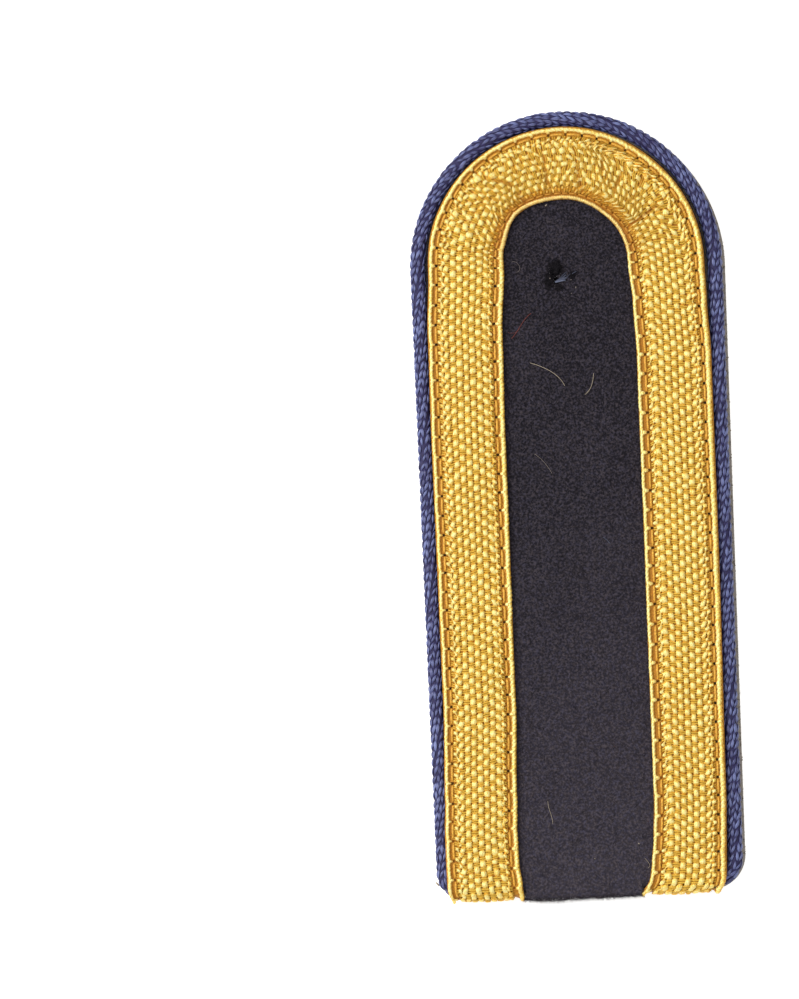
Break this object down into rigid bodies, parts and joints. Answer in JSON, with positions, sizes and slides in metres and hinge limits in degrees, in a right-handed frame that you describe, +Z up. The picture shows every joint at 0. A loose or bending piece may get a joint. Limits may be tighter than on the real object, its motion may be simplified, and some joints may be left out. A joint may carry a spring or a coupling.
{
  "type": "shoulder board",
  "caption": "Shoulder board: navy wool cloth edged with braided blue cord, a U of gold woven lace sewn on it, grey felt backing and a button hole near its rounded end.",
  "frame": {"origin": "middle of the underside's bounding box, on the surface that the board lies on", "axes": "+Y along the board towards the rounded button end, +X to the right as seen from above, +Z up out of the face"},
  "size_m": [0.0474, 0.1182, 0.0044],
  "materials": {
    "felt_grey": "matt rough felt",
    "wool_navy": "matt milled wool with a short nap",
    "cord_blue": "silky knitted cord",
    "lace_gold": "glossy gold yarn, woven"
  },
  "bodies": {
    "root": {"backing": "felt_grey", "base_cloth": "wool_navy", "piping": "cord_blue", "tress": "lace_gold"}
  },
  "joints": []
}
